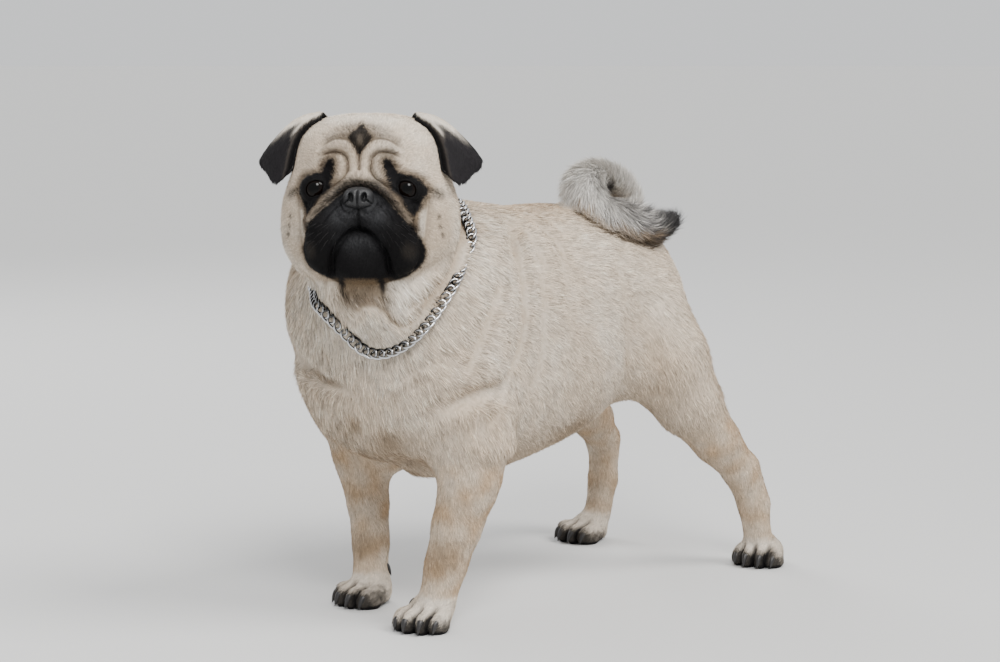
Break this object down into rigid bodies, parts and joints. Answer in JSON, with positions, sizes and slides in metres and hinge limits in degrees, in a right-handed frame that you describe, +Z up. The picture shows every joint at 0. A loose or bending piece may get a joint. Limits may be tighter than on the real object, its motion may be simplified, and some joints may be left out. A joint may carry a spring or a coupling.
{
  "type": "pug dog",
  "caption": "Life-size standing pug with a wrinkled flat face, folded ears, a curled tail and a chain collar, head turned to its left.",
  "frame": {"origin": "centre of the base of the box that holds the whole animal, on the floor", "axes": "+Z up, the nose end towards -Y, the animal's left side towards +X"},
  "size_m": [0.222, 0.4802, 0.3916],
  "materials": {
    "coat": "short dense silver-fawn hair with a black mask",
    "ear_coat": "black velvety hair",
    "eye": "wet and glossy, dark brown",
    "nose_leather": "moist, finely pebbled",
    "claw_horn": "black horn, satin",
    "chain_steel": "polished, lightly worn"
  },
  "bodies": {
    "root": {"head": "coat", "eye_left": "eye", "eye_right": "eye", "nose": "nose_leather", "ear_left": "ear_coat", "ear_right": "ear_coat", "neck": "coat", "torso": "coat", "upper_arm_left": "coat", "upper_arm_right": "coat", "forearm_left": "coat", "forearm_right": "coat", "forepaw_left": "coat", "forepaw_right": "coat", "thigh_left": "coat", "thigh_right": "coat", "shank_left": "coat", "shank_right": "coat", "hindpaw_left": "coat", "hindpaw_right": "coat", "claw_front_left_1": "claw_horn", "claw_front_left_2": "claw_horn", "claw_front_left_3": "claw_horn", "claw_front_left_4": "claw_horn", "claw_front_right_1": "claw_horn", "claw_front_right_2": "claw_horn", "claw_front_right_3": "claw_horn", "claw_front_right_4": "claw_horn", "claw_hind_left_1": "claw_horn", "claw_hind_left_2": "claw_horn", "claw_hind_left_3": "claw_horn", "claw_hind_left_4": "claw_horn", "claw_hind_right_1": "claw_horn", "claw_hind_right_2": "claw_horn", "claw_hind_right_3": "claw_horn", "claw_hind_right_4": "claw_horn", "tail_root": "coat", "tail_curl": "coat", "collar_chain": "chain_steel"}
  },
  "joints": []
}
